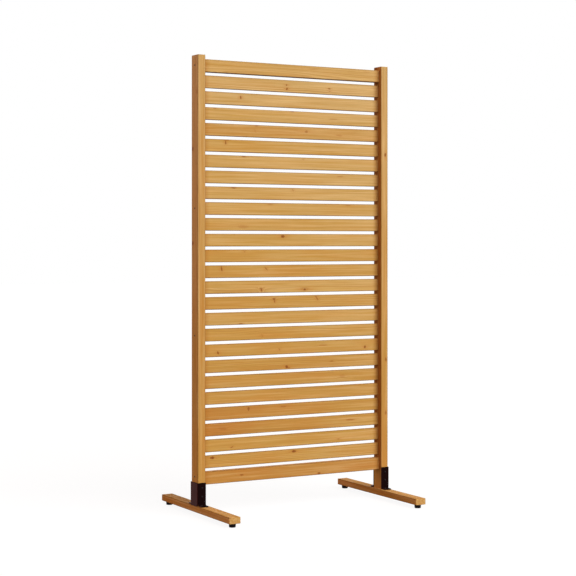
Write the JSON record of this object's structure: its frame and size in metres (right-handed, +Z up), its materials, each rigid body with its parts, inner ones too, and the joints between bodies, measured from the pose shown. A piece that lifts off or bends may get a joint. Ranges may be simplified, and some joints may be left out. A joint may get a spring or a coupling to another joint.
{
  "type": "garden privacy screen",
  "caption": "Free-standing slatted wooden privacy screen: posts on foot beams with bent-steel brackets and screw-adjustable levelling feet.",
  "frame": {"origin": "on the ground, under the middle of the panel", "axes": "+Z up, +X to the right along the panel as seen from its front, +Y to the back"},
  "size_m": [0.888, 0.604, 1.8],
  "materials": {
    "glazed_wood": "honey-brown glazed softwood, satin",
    "coated_steel": "dark brown powder coat, satin",
    "screw_steel": "dark coated screws, satin",
    "black_plastic": "moulded, matt",
    "black_rubber": "matt rubber",
    "zinc_steel": "zinc plated"
  },
  "bodies": {
    "frame": {"bottom_rail": "glazed_wood", "front_left_foot_drive_in_nut": "zinc_steel", "front_right_foot_drive_in_nut": "zinc_steel", "left_bracket": "coated_steel", "left_bracket_to_beam_screws": "screw_steel", "left_bracket_to_post_screws": "screw_steel", "left_foot_beam": "glazed_wood", "left_post": "glazed_wood", "left_post_screws": "screw_steel", "rear_left_foot_drive_in_nut": "zinc_steel", "rear_right_foot_drive_in_nut": "zinc_steel", "right_bracket": "coated_steel", "right_bracket_to_beam_screws": "screw_steel", "right_bracket_to_post_screws": "screw_steel", "right_foot_beam": "glazed_wood", "right_post": "glazed_wood", "right_post_screws": "screw_steel", "slat_01": "glazed_wood", "slat_02": "glazed_wood", "slat_03": "glazed_wood", "slat_04": "glazed_wood", "slat_05": "glazed_wood", "slat_06": "glazed_wood", "slat_07": "glazed_wood", "slat_08": "glazed_wood", "slat_09": "glazed_wood", "slat_10": "glazed_wood", "slat_11": "glazed_wood", "slat_12": "glazed_wood", "slat_13": "glazed_wood", "slat_14": "glazed_wood", "slat_15": "glazed_wood", "slat_16": "glazed_wood", "slat_17": "glazed_wood", "slat_18": "glazed_wood", "slat_19": "glazed_wood", "slat_20": "glazed_wood", "slat_21": "glazed_wood", "slat_22": "glazed_wood", "slat_23": "glazed_wood", "slat_24": "glazed_wood", "slat_25": "glazed_wood", "top_rail": "glazed_wood"},
    "front_left_sole": {"front_left_foot_sole": "black_rubber"},
    "front_left_adjuster": {"front_left_foot_grip": "black_plastic", "front_left_foot_stud": "zinc_steel"},
    "front_right_sole": {"front_right_foot_sole": "black_rubber"},
    "front_right_adjuster": {"front_right_foot_grip": "black_plastic", "front_right_foot_stud": "zinc_steel"},
    "rear_left_sole": {"rear_left_foot_sole": "black_rubber"},
    "rear_left_adjuster": {"rear_left_foot_grip": "black_plastic", "rear_left_foot_stud": "zinc_steel"},
    "rear_right_sole": {"rear_right_foot_sole": "black_rubber"},
    "rear_right_adjuster": {"rear_right_foot_grip": "black_plastic", "rear_right_foot_stud": "zinc_steel"}
  },
  "joints": [
    {"name": "front_left_foot_travel", "type": "slide", "parent": "frame", "child": "front_left_sole", "axis": [0, 0, -1], "range_m": [0, 0.01]},
    {"name": "front_left_foot_turn", "type": "hinge", "parent": "front_left_sole", "child": "front_left_adjuster", "pos_m": [-0.419, -0.28, 0.009], "axis": [0, 0, -1], "range_deg": [0, 2880]},
    {"name": "front_right_foot_travel", "type": "slide", "parent": "frame", "child": "front_right_sole", "axis": [0, 0, -1], "range_m": [0, 0.01]},
    {"name": "front_right_foot_turn", "type": "hinge", "parent": "front_right_sole", "child": "front_right_adjuster", "pos_m": [0.419, -0.28, 0.009], "axis": [0, 0, -1], "range_deg": [0, 2880]},
    {"name": "rear_left_foot_travel", "type": "slide", "parent": "frame", "child": "rear_left_sole", "axis": [0, 0, -1], "range_m": [0, 0.01]},
    {"name": "rear_left_foot_turn", "type": "hinge", "parent": "rear_left_sole", "child": "rear_left_adjuster", "pos_m": [-0.419, 0.28, 0.009], "axis": [0, 0, -1], "range_deg": [0, 2880]},
    {"name": "rear_right_foot_travel", "type": "slide", "parent": "frame", "child": "rear_right_sole", "axis": [0, 0, -1], "range_m": [0, 0.01]},
    {"name": "rear_right_foot_turn", "type": "hinge", "parent": "rear_right_sole", "child": "rear_right_adjuster", "pos_m": [0.419, 0.28, 0.009], "axis": [0, 0, -1], "range_deg": [0, 2880]}
  ],
  "couplings": [
    {"joint": "front_left_foot_turn", "follows": "front_left_foot_travel", "rad_per_m": 5026.5},
    {"joint": "front_right_foot_turn", "follows": "front_right_foot_travel", "rad_per_m": 5026.5},
    {"joint": "rear_left_foot_turn", "follows": "rear_left_foot_travel", "rad_per_m": 5026.5},
    {"joint": "rear_right_foot_turn", "follows": "rear_right_foot_travel", "rad_per_m": 5026.5}
  ]
}
